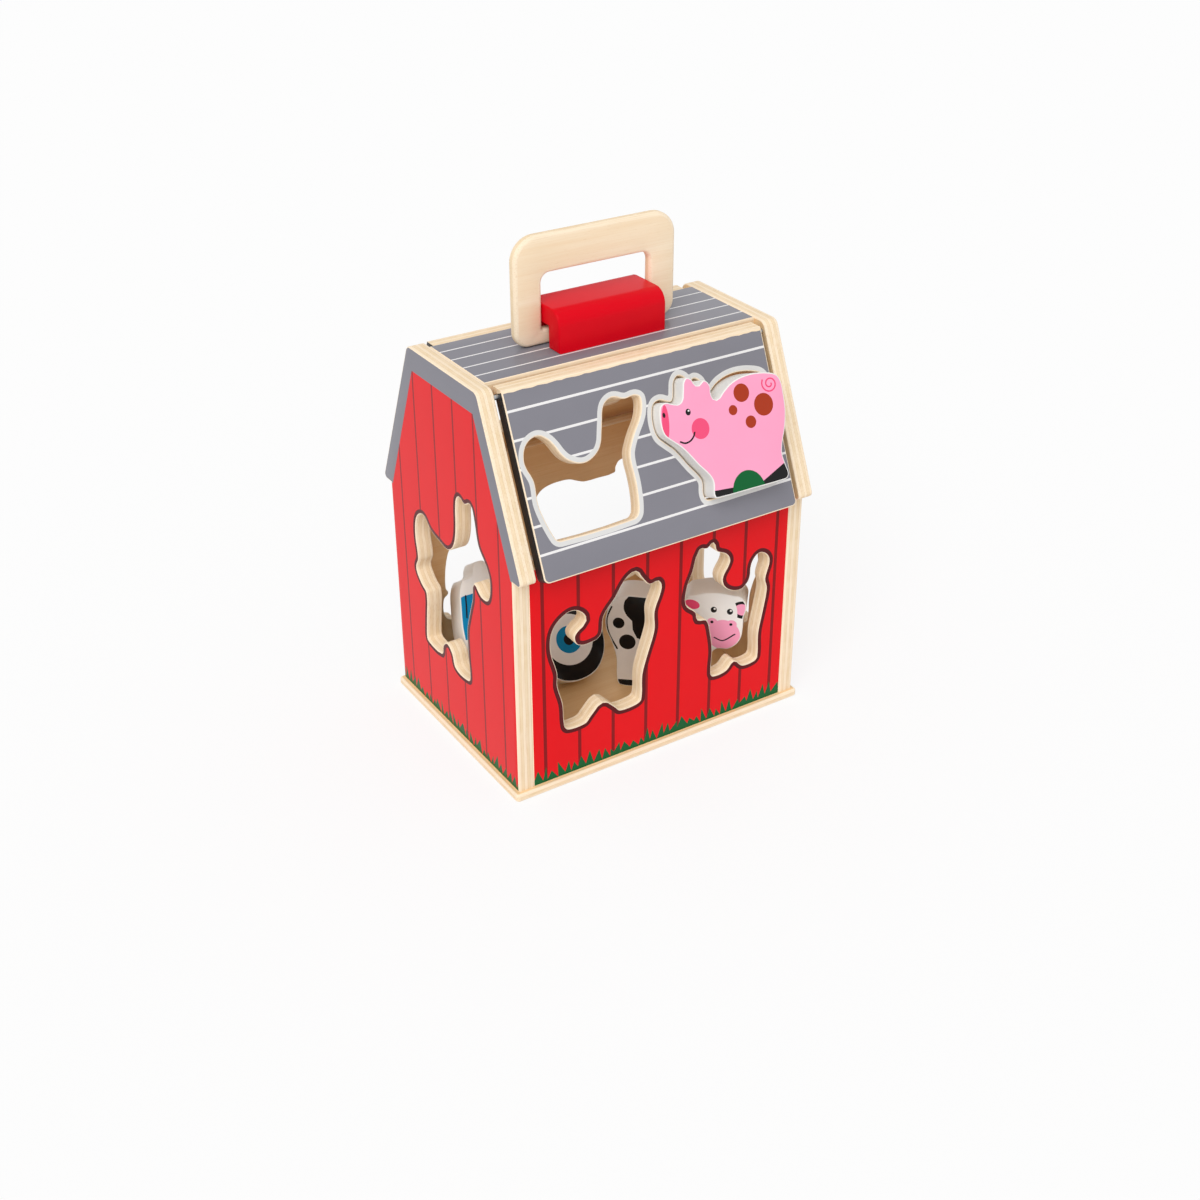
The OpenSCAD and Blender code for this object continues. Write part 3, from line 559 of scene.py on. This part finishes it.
def platePiece(name, node, face, thickness, look, marks=(), lean=None):
    # A panel with rounded arrises. Each outline is carried through an edge profile; the two flat
    # sides are filled between the profile's ends. plyDepth runs from the front to the back.
    loops = [smoothLoop(loop) for loop in face["loops"]]
    plans = []
    for loop in loops:
        small = abs(signedArea(loop)) < 60
        plans.append({"loop": loop, "mitre": arrisMitres(loop, look["arris"]), "outer": signedArea(loop) > 0,
                      "profile": np.array(look["bore"]) if small else arrisProfile(thickness, look["arris"])})
    rims = [p["loop"] + p["mitre"] * p["profile"][0, 0] for p in plans]
    flat, tri, middle = fillFace(rims, marks)

    slots = []

    def slotOf(finish):
        if finish not in slots:
            slots.append(finish)
        return slots.index(finish)
    front = np.full(len(tri), slotOf(look["front"]))
    for mark in marks:
        front[mark["holds"](middle)] = slotOf(mark["finish"])
    back = front if look["back"] == "asFront" else np.full(len(tri), slotOf(look["back"]))

    # The flat sides share their points' numbering: the front's, then the back's
    used = np.unique(tri)
    number = np.full(len(flat), -1)
    number[used] = np.arange(len(used))
    tri, flat = number[tri], flat[used]
    n = len(flat)
    place = np.vstack([np.c_[flat, np.zeros(n)], np.c_[flat, np.full(n, thickness)]])
    faces = [tri, tri[:, ::-1] + n]
    material = [front, back]
    quads, quadSlots = [], []
    edges = np.vstack([tri[:, [0, 1]], tri[:, [1, 2]], tri[:, [2, 0]]])
    for loop in rimLoops(edges):
        rim = flat[loop]
        gaps = [nearestOnLoop(rim, r) for r in rims]
        plan = plans[int(np.argmin([g[0].max() for g in gaps]))]
        _, side, along = gaps[int(np.argmin([g[0].max() for g in gaps]))]
        m = plan["mitre"]
        move = m[side] * (1 - along[:, None]) + m[(side + 1) % len(m)] * along[:, None]
        base = rim - move * plan["profile"][0, 0]
        profile = plan["profile"]
        rows = base[None] + move[None] * profile[:, 0, None, None]
        slant = np.zeros(len(loop))
        if lean and plan["outer"]:
            slant = np.where(base[:, 1] > lean["above"], lean["perDepth"], 0.0)
        rows[:, :, 1] += slant[None] * profile[:, 1, None]
        depth = np.broadcast_to(profile[:, 1, None], rows.shape[:2])
        rows = np.concatenate([rows, depth[..., None]], 2)
        place[loop + n] = rows[-1]
        count, start = len(loop), len(place)
        grid = np.vstack([loop[None], start + np.arange((len(profile) - 2) * count).reshape(-1, count),
                          loop[None] + n])
        place = np.vstack([place, rows[1:-1].reshape(-1, 3)])
        a, d = grid[:-1], grid[1:]
        quads.append(np.stack([a, d, np.roll(d, -1, 1), np.roll(a, -1, 1)], 2).reshape(-1, 4))
        kinds = np.full((len(profile) - 1, count), slotOf(look["edge"]))
        # The outer edge's flat row, where not slanted, takes the outer edge finish: on the flaps, dark charcoal
        # as painted shade
        if plan["outer"] and "outerEdge" in look:
            flatRow = np.argmax(np.diff(profile[:, 1]))
            kinds[flatRow, slant == 0] = slotOf(look["outerEdge"])
        quadSlots.append(kinds.ravel())

    mesh = bpy.data.meshes.new(name)
    o, u, v, w = face["origin"], face["u"], face["v"], face["n"]
    co = o + (place[:, :1] * u + place[:, 1:2] * v - place[:, 2:] * w) * mm
    quads = np.vstack(quads)
    mesh.from_pydata(co.tolist(), [], np.vstack(faces).tolist() + quads.tolist())
    for finish in slots:
        mesh.materials.append(finishes[finish])
    mesh.polygons.foreach_set("material_index", np.concatenate(material + quadSlots).astype(np.int32))
    mesh.polygons.foreach_set("use_smooth", np.r_[np.zeros(2 * len(tri), bool), np.ones(len(quads), bool)])
    ply = mesh.attributes.new("plyDepth", "FLOAT", "POINT")
    ply.data.foreach_set("value", (place[:, 2] / thickness).astype(np.float32))
    mesh.update()
    mesh.set_sharp_from_angle(angle=math.radians(34))
    piece = bpy.data.objects.new(name, mesh)
    bpy.context.collection.objects.link(piece)
    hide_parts(node)
    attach(piece, nodeBody[node])
    print(name, len(mesh.polygons), "faces")
    return piece


def thicknessOf(node, axis):
    # Size of the node's box along an axis, in millimetres
    low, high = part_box(node)
    return (high[axis] - low[axis]) / mm


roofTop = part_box("top_panel")[1].z
frontWall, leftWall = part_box("front_wall"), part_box("left_end_wall")
ground = frontWall[0].z / mm

wallPrint = {"plankPitch": 21.0, "frontLine": 2.0, "endLine": 1.3, "ring": 2.7, "arris": 0.6,
             "frontArris": 0.4}
grass = {"pitch": 4.6, "shortBlade": 5.5, "tallBlade": 10.5, "shallow": 0.6, "deep": 3.4}
gable = {"kneeY": 36.0, "bandTop": 12.5, "bandSlope": 8.7, "eaveZ": 130.5}


def plankMarks(halfWidth, low, high, width):
    # Lines between planks, half a pitch from the middle and then every pitch
    pitch = wallPrint["plankPitch"]
    places = [s * (k + 0.5) * pitch for k in range(int(halfWidth / pitch + 0.5)) for s in (-1, 1)]
    return [barMark("plankPrint", x - width / 2, x + width / 2, low - 5, high + 5)
            for x in places if abs(x) < halfWidth - 2]


def gableMarks():
    # Grey border under the roof line: outside a trapezium whose sides run parallel to the slopes
    top, half = roofTop / mm, leftWall[1].y / mm
    run = (half - gable["kneeY"]) / (top - gable["eaveZ"])
    slope = math.atan2(1, run)
    shift = gable["bandSlope"] / math.sin(slope)
    foot, head = half - shift, gable["kneeY"] + gable["bandTop"] * run - shift
    field = np.array([(-foot, gable["eaveZ"]), (foot, gable["eaveZ"]), (head, top - gable["bandTop"]),
                      (-head, top - gable["bandTop"])])
    level = np.array([(-half - 5, gable["eaveZ"]), (half + 5, gable["eaveZ"])])
    return {"finish": "greyPrint", "points": np.vstack([field, level]),
            "edges": np.vstack([closedEdges(4), [[4, 5]]]),
            "holds": lambda q: (q[:, 1] > gable["eaveZ"]) & ~insideLoops(q, [field])}


def makeWalls():
    # Each wall: its name, its node, the way its print faces, the way its x runs, and the seed of its grass
    plans = (("leftEndPanel", "left_end_wall", (-1, 0, 0), (0, -1, 0), 3),
             ("rightEndPanel", "right_end_wall", (1, 0, 0), (0, 1, 0), 5),
             ("frontPanel", "front_wall", (0, -1, 0), (1, 0, 0), 7),
             ("backPanel", "back_wall", (0, 1, 0), (-1, 0, 0), 9))
    for name, node, normal, across, seed in plans:
        face = cadFace(node, normal, across)
        half, high = face["loops"][0].max(0)
        atEnd = normal[0] != 0
        marks = plankMarks(-frontWall[0].y / mm if atEnd else half, ground, high,
                           wallPrint["endLine" if atEnd else "frontLine"])
        marks += [ringMark("maroonPrint", smoothLoop(loop), wallPrint["ring"]) for loop in face["loops"][1:]]
        marks += [gableMarks()] if atEnd else []
        marks.append(grassMark("greenPrint", seed, -half, half, ground, grass))
        t = thicknessOf(node, 0 if atEnd else 1)
        # The back, inside the barn, takes the darker wood of painted shade
        look = {"front": "redPrint", "back": "birchShadedInnerZ" if atEnd else "birchShadedInnerX",
                "edge": "birchEdgeZ", "arris": wallPrint["arris" if atEnd else "frontArris"],
                "bore": [(0, 0), (0, t)], "slot": "printed_red_ply"}
        platePiece(name, node, face, t, look, marks)


screwHole = {"coneDepth": 1.9, "headFlat": 0.4, "widen": 1.5}
baseSizes = {"arris": 1.1}
topPrint = {"arris": 0.5, "stripes": (-18, -6, 6, 18), "stripeWidth": 1.0, "stripeReach": 90}


def screwBore(thickness):
    # Straight to where the cone starts, out by the cone, then straight to the back
    head = thickness - screwHole["headFlat"]
    return [(0, 0), (0, thickness - screwHole["coneDepth"]), (-screwHole["widen"], head),
            (-screwHole["widen"], thickness)]


def makeBaseAndTop():
    face = cadFace("base_board", (0, 0, 1), (1, 0, 0))
    t = thicknessOf("base_board", 2)
    # The base's top, inside the barn, takes the darker wood of painted shade
    look = {"front": "birchShadedInnerX", "back": "birchFaceX", "edge": "birchEdgeThin",
            "arris": baseSizes["arris"], "bore": screwBore(t), "slot": "birch_ply"}
    platePiece("basePanel", "base_board", face, t, look)

    face = cadFace("top_panel", (0, 0, 1), (1, 0, 0))
    t = thicknessOf("top_panel", 2)
    # The top panel's underside takes the darker wood of painted shade
    look = {"front": "greyPrint", "back": "birchShadedInnerX", "edge": "birchEdgeX",
            "arris": topPrint["arris"], "bore": screwBore(t), "slot": "printed_grey_ply"}
    reach, half = topPrint["stripeReach"], topPrint["stripeWidth"] / 2
    marks = [barMark("stripePrint", -reach, reach, y - half, y + half) for y in topPrint["stripes"]]
    platePiece("topPanel", "top_panel", face, t, look, marks)


roofPrint = {"firstStripe": 12.5, "stripePitch": 14.2, "stripes": 6, "stripeWidth": 1.25, "ring": 3.0,
             "arris": 0.6, "margin": 0.9, "wave": 0.25, "waveSteps": 60, "seed": 21, "thickness": 8.0}


def makeFlaps():
    # The print stops short of the top edge along an uneven line. That edge is sawn level, so it
    # leans by the slope's cotangent per millimetre of depth.
    slope = math.atan2(roofTop / mm - gable["eaveZ"], leftWall[1].y / mm - gable["kneeY"])
    for node, side in (("front_roof_flap", -1), ("back_roof_flap", 1)):
        face = cadFace(node, (0, side * math.sin(slope), math.cos(slope)), (-side, 0, 0),
                       (0, side * gable["kneeY"] * mm, roofTop))
        half, top = face["loops"][0].max(0)
        marks = [barMark("stripePrint", -half - 3, half + 3, -s - roofPrint["stripeWidth"] / 2,
                         -s + roofPrint["stripeWidth"] / 2)
                 for s in roofPrint["firstStripe"] + roofPrint["stripePitch"] * np.arange(roofPrint["stripes"])]
        marks += [ringMark("paleGreyPrint", smoothLoop(loop), roofPrint["ring"]) for loop in face["loops"][1:]]
        steps = roofPrint["waveSteps"]
        x = np.linspace(-half - 2, half + 2, steps)
        rng = np.random.default_rng(roofPrint["seed"])
        y = top - roofPrint["arris"] - roofPrint["margin"] + roofPrint["wave"] * rng.uniform(-1, 1, steps)
        marks.append(shapeMark("birchFaceX", np.vstack([np.c_[x, y], [(half + 2, 9), (-half - 2, 9)]])))
        t = roofPrint["thickness"]
        # The flap's back, inside the barn, takes the darker wood of painted shade
        look = {"front": "greyPrint", "back": "birchShadedInnerX", "edge": "birchEdgeX",
                # Side and bottom edges dark charcoal: painted shade of the gap beside the end walls
                "outerEdge": "charcoalGapShade", "arris": roofPrint["arris"],
                "bore": [(0, 0), (0, t)], "slot": "printed_grey_ply"}
        platePiece("frontFlapPanel" if side < 0 else "backFlapPanel", node, face, t, look, marks,
                   {"above": top - 0.3, "perDepth": math.cos(slope) / math.sin(slope)})


def roundedLoop(corners, steps=8):
    # Corners with a radius each: the circle that touches both sides, as an arc from side to side
    c = np.array([p[:2] for p in corners], float)
    r = np.array([p[2] for p in corners], float)
    u, v = np.roll(c, 1, 0) - c, np.roll(c, -1, 0) - c
    u, v = u / np.linalg.norm(u, axis=1)[:, None], v / np.linalg.norm(v, axis=1)[:, None]
    half = np.arccos((u * v).sum(1)) / 2
    middle = c + (u + v) / np.linalg.norm(u + v, axis=1)[:, None] * (r / np.sin(half))[:, None]
    start, end = c + u * (r / np.tan(half))[:, None], c + v * (r / np.tan(half))[:, None]
    a = np.arctan2(*(start - middle)[:, ::-1].T)
    sweep = (np.arctan2(*(end - middle)[:, ::-1].T) - a + math.pi) % (2 * math.pi) - math.pi
    angle = a[:, None] + sweep[:, None] * np.linspace(0, 1, steps + 1)
    points = middle[:, None] + r[:, None, None] * np.stack([np.cos(angle), np.sin(angle)], 2)
    return np.vstack([p if radius > 0 else c[i:i + 1] for i, (p, radius) in enumerate(zip(points, r))])


handleSizes = {"foot": 8.0, "shoulder": 13.0, "finger": 5.0, "bar": 8.0, "grip": 20.0,
               "halfHole": 32.4, "arris": 1.9}


def makeHandle():
    low, high = (np.array(p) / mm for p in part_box("handle"))
    s, w, h = handleSizes, high[0], high[2] - low[2]
    outer = roundedLoop([(-w, 0, s["foot"]), (w, 0, s["foot"]),
                         (w, h, s["shoulder"]), (-w, h, s["shoulder"])])
    hole = roundedLoop([(-s["halfHole"], s["bar"], 1), (s["halfHole"], s["bar"], 1),
                        (s["halfHole"], h - s["grip"], s["finger"]),
                        (-s["halfHole"], h - s["grip"], s["finger"])])
    face = {"origin": np.array([0, low[1], low[2]]) * mm, "u": np.array([1.0, 0, 0]),
            "v": np.array([0, 0, 1.0]), "n": np.array([0, -1.0, 0]), "loops": [outer, hole[::-1]]}
    look = {"front": "birchFaceX", "back": "birchFaceX", "edge": "birchEdgeThin", "arris": s["arris"],
            "bore": [(0, 0), (0, high[1] - low[1])], "slot": "birch_ply"}
    platePiece("handlePlate", "handle", face, high[1] - low[1], look)


saddleSizes = {"arris": 0.9}


def makeSaddle():
    face, t = cadFace("saddle_block", (-1, 0, 0), (0, -1, 0)), thicknessOf("saddle_block", 0)
    look = {"front": "redGlossPaint", "back": "redGlossPaint", "edge": "redGlossPaint",
            "arris": saddleSizes["arris"], "bore": [(0, 0), (0, t)], "slot": "red_gloss_wood"}
    platePiece("saddleBlock", "saddle_block", face, t, look)


blockSizes = {"thickness": 18.0, "arris": 0.6}
tractorFace = (-0.073, -0.8355, 0.5446)    # the way its print faces: turned 5 degrees and leaning back 33


def makeBlock(name, node, towards, across, front, marks):
    # A painted block whose two broad sides carry the same print
    face = cadFace(node, towards, across, cornered=True)
    t = blockSizes["thickness"]
    look = {"front": front, "back": "asFront", "edge": "whitePaint", "arris": blockSizes["arris"],
            "bore": [(0, 0), (0, t)], "slot": "white_painted_wood"}
    platePiece(name, node, face, t, look, marks)


# Marks of the blocks in millimetres from the lower left corner of the front, x to the right and y up
smileLine = [(8.6, 32.6), (11.0, 31.4), (13.8, 31.8), (16.0, 33.4), (17.2, 35.4)]
tailCurl = {"middle": (63.6, 50.0), "start": 0.9, "growth": 0.36, "turns": 1.6, "steps": 26}


def curlLine(curl):
    # Spiral: the radius is the start plus the growth times the angle in radians
    a = np.linspace(0.0, curl["turns"] * math.tau, curl["steps"])
    radius = curl["start"] + curl["growth"] * a
    return np.c_[curl["middle"][0] + radius * np.cos(a), curl["middle"][1] - radius * np.sin(a)]


def makePig():
    marks = [
        ovalMark("rosePrint", (2.9, 44.0), (1.9, 8.6), -8), ovalMark("blackPrint", (2.8, 47.6), (0.8, 1.3)),
        ovalMark("blackPrint", (16.0, 46.2), (1.4, 1.7)),
        ovalMark("whitePrint", (16.4, 46.8), (0.5, 0.5), 0, 12),
        ovalMark("rosePrint", (20.8, 36.6), (4.9, 5.3)),
        strokeMark("blackPrint", smileLine, 0.9),
        ovalMark("brownPrint", (47.0, 49.0), (4.4, 4.7)), ovalMark("brownPrint", (58.0, 40.5), (5.4, 5.8)),
        ovalMark("brownPrint", (40.5, 41.5), (2.4, 2.6)), ovalMark("brownPrint", (49.0, 33.5), (3.0, 3.2)),
        strokeMark("rosePrint", curlLine(tailCurl), 0.8),
        shapeMark("blackPrint", [(10, -3), (10, 5.2), (34, 3.2), (34, -3)]),
        shapeMark("blackPrint", [(47, -3), (47, 1.6), (62.5, 8.6), (72, 9), (72, -3)]),
        ovalMark("greenPrint", (40.4, -0.2), (9.2, 10.4)),
    ]
    makeBlock("pigBlock", "pig_block", (-0.148, -0.909, 0.391), (1, 0, 0), "pinkPrint", marks)


rumpPatch = [(15.0, 62), (11.2, 57), (10.4, 51.5), (12.4, 46.8), (15.2, 43.8), (15.6, 38), (18, 32.8),
             (21.4, 31.4), (25, 34.6), (28, 42), (29.6, 50), (30, 62)]


def makeCow():
    marks = [
        shapeMark("blackPrint", smoothLoop(np.array(rumpPatch))),
        ovalMark("blackPrint", (7.6, 41.9), (3.3, 3.5)), ovalMark("blackPrint", (12.6, 29.8), (4.7, 4.9)),
        strokeMark("blackPrint", [(3.6, 52.3), (0.9, 44.1), (2.0, 34.9), (6.8, 24.9)], 1.0),
        ovalMark("blackPrint", (39.0, 47.0), (7.5, 6.5), 15), ovalMark("blackPrint", (33.0, 29.0), (4.6, 4.2)),
        ovalMark("rosePrint", (48.6, 57.5), (4.4, 2.9), -14),
        ovalMark("blackPrint", (77.0, 56.0), (6.6, 5.6)), ovalMark("pinkPrint", (76.6, 56.2), (4.2, 3.6)),
        ovalMark("whitePrint", (64.6, 53.0), (9.4, 13.0)),
        ovalMark("pinkPrint", (66.6, 39.2), (9.4, 9.6)),
        ovalMark("pinkPrint", (60.2, 47.0), (2.9, 2.6)), ovalMark("pinkPrint", (71.0, 46.4), (2.9, 2.6)),
        ovalMark("blackPrint", (60.0, 47.0), (0.9, 0.9)), ovalMark("blackPrint", (70.6, 46.2), (0.9, 0.9)),
        strokeMark("blackPrint", [(61.6, 37.0), (66.6, 35.4), (73.0, 40.0)], 0.8),
        ovalMark("blackPrint", (60.8, 55.0), (1.7, 1.9)), ovalMark("blackPrint", (69.8, 54.4), (1.7, 1.9)),
        ovalMark("whitePrint", (61.3, 55.6), (0.6, 0.6), 0, 12),
        ovalMark("whitePrint", (70.3, 55.0), (0.6, 0.6), 0, 12),
        barMark("blackPrint", 4, 21.5, -3, 4.4), barMark("blackPrint", 44, 60, -3, 4.4),
    ]
    makeBlock("cowBlock", "cow_block", (-0.656, -0.755, 0), (0.755, -0.656, 0), "whitePrint", marks)


def makeTractor():
    marks = [
        shapeMark("bluePrint", [(-2, 41.6), (-0.5, 52), (2.4, 61.5), (4.6, 64.4), (8, 65.2), (46, 65),
                                (50, 61), (58, 47), (60, 38), (44, 34), (30, 33), (22, 39.5),
                                (12, 41.6)]),
        strokeMark("blackPrint", [(9.6, 65.1), (8.2, 59.2), (6.6, 53.4)], 0.9),
        strokeMark("blackPrint", [(14.6, 60.5), (13.6, 56.5), (12.6, 52.5)], 0.7),
        strokeMark("blackPrint", [(50.5, 62), (54.0, 67), (59.5, 68.5)], 1.4),
        shapeMark("blackPrint", [(63, 50), (62, 57), (72, 59), (74, 67), (76.6, 67), (76.0, 55), (73, 50)]),
        ovalMark("blackPrint", (60.8, 24.0), (23.4, 23.4)), ovalMark("whitePrint", (60.8, 24.0), (14.6, 14.6)),
        ovalMark("bluePrint", (60.8, 24.0), (7.8, 7.8)), ovalMark("blackPrint", (60.8, 24.0), (3.2, 3.2)),
        ovalMark("blackPrint", (18.0, 20.0), (18.8, 18.8)), ovalMark("whitePrint", (18.0, 20.0), (11.0, 11.0)),
        ovalMark("bluePrint", (18.0, 20.0), (6.0, 6.0)), ovalMark("blackPrint", (18.0, 20.0), (2.6, 2.6)),
    ]
    makeBlock("tractorBlock", "tractor_block", tractorFace, (1, 0, 0), "whitePrint", marks)


makeWalls()
makeBaseAndTop()
makeFlaps()
makeHandle()
makeSaddle()
makePig()
makeCow()
makeTractor()

for names, finish in ((("front_hinge_pins", "back_hinge_pins", "saddle_screws", "end_wall_screws",
                        "side_wall_screws"), "zincSteel"),
                      (("front_wall_dowels", "back_wall_dowels", "top_panel_dowels"), "beechDowel")):
    for name in names:
        part = frame["nodes"][name]
        if not part.material_slots:
            part.data.materials.append(finishes[finish])
        for holder in part.material_slots:
            holder.material = finishes[finish]
print("pins, screws and dowels finished")
